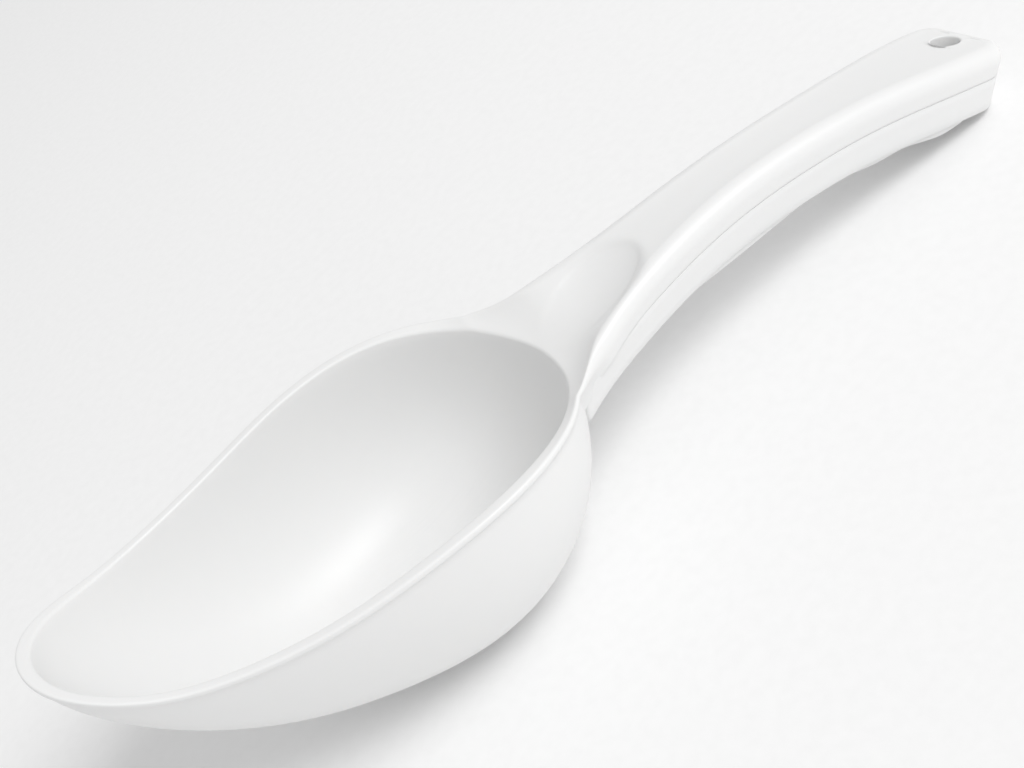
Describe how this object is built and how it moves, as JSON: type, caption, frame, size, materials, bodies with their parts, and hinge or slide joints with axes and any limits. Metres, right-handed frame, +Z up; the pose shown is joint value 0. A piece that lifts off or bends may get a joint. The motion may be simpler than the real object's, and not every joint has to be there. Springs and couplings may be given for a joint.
{
  "type": "ice scoop",
  "caption": "Hand scoop for ice: deep pointed bowl with a beaded rim, thumb rest, hollow arched handle with a finger grip and a hanging hole.",
  "frame": {"origin": "bottom centre of the scoop's box, on the table it lies on", "axes": "+X from the bowl's tip towards the handle's end, +Y across the bowl, +Z up, with the scoop lying on the bowl's belly and the handle's end"},
  "size_m": [0.2826, 0.0852, 0.0742],
  "materials": {
    "white_moulding": "semi-gloss injection-moulded white polypropylene",
    "grip_moulding": "white polypropylene with a fine satin texture"
  },
  "bodies": {
    "root": {"scoop_body": "white_moulding", "handle_lower_shell": "white_moulding", "finger_grip": "grip_moulding"}
  },
  "joints": []
}
